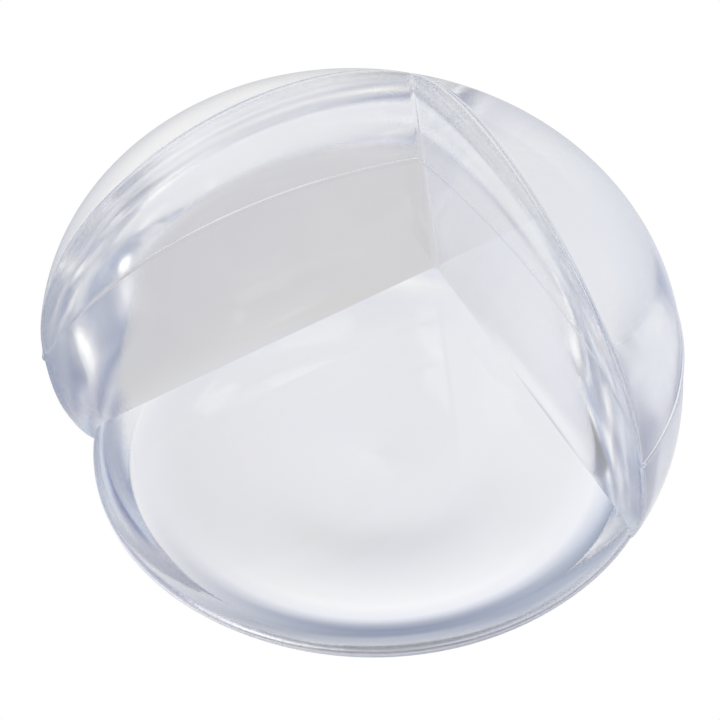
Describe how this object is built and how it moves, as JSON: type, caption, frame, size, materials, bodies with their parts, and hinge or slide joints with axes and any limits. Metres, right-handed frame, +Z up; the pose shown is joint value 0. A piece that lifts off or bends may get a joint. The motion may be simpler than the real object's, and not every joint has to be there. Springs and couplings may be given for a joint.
{
  "type": "furniture corner protector",
  "caption": "Clear soft plastic corner protector: a squashed ball with a flat base and a square notch that a table corner sits in.",
  "frame": {"origin": "the middle of the flat base, on the ball's upright axis", "axes": "+Z up, out of the base; the notch opens towards -Y and upwards; +X to the right as seen from the front"},
  "size_m": [0.0332, 0.0282, 0.0215],
  "materials": {
    "clear_plastic": "clear and glossy, with a faint cool tint"
  },
  "bodies": {
    "root": {"corner_protector": "clear_plastic"}
  },
  "joints": []
}
